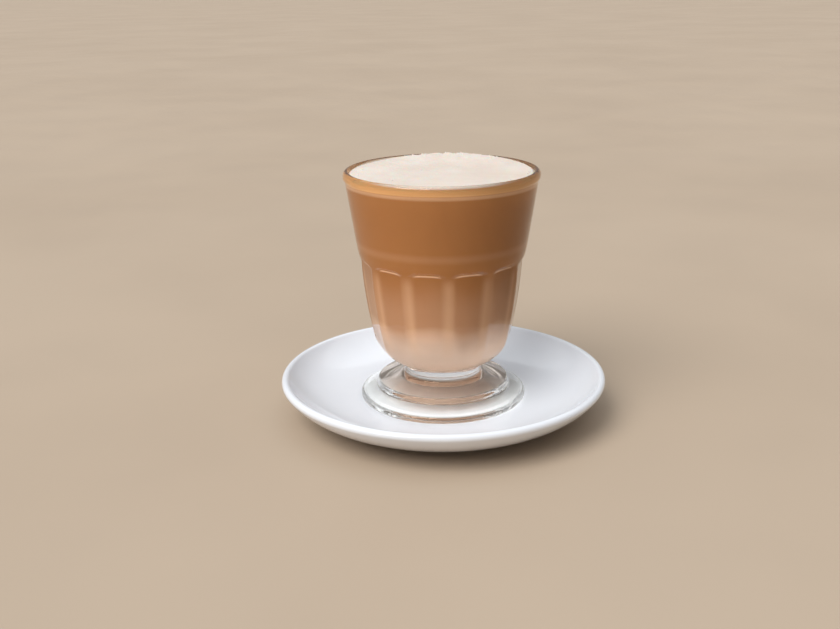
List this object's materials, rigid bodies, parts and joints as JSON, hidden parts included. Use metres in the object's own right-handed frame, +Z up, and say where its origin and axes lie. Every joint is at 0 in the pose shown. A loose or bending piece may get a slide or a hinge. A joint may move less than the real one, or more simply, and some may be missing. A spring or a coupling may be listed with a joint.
{
  "type": "raf coffee in a footed glass on a saucer",
  "caption": "Footed, panelled clear glass filled to the brim with layered milky coffee under a smooth, slightly heaped cap of milk foam, standing on a plain white china saucer.",
  "frame": {"origin": "middle of the saucer's foot ring, on the surface that it stands on", "axes": "+Z up along the axis of the glass, -Y towards the viewer of the picture, +X to that viewer's right"},
  "size_m": [0.152, 0.152, 0.1161],
  "materials": {
    "white_china": "white glazed china",
    "clear_glass": "clear pressed glass",
    "pale_milk": "pale milk with a little coffee in it",
    "milky_coffee": "opaque milky coffee",
    "milk_foam": "smooth fine milk foam"
  },
  "bodies": {
    "root": {"saucer": "white_china", "glass": "clear_glass", "milk_layer": "pale_milk", "coffee": "milky_coffee", "milk_foam": "milk_foam"}
  },
  "joints": []
}
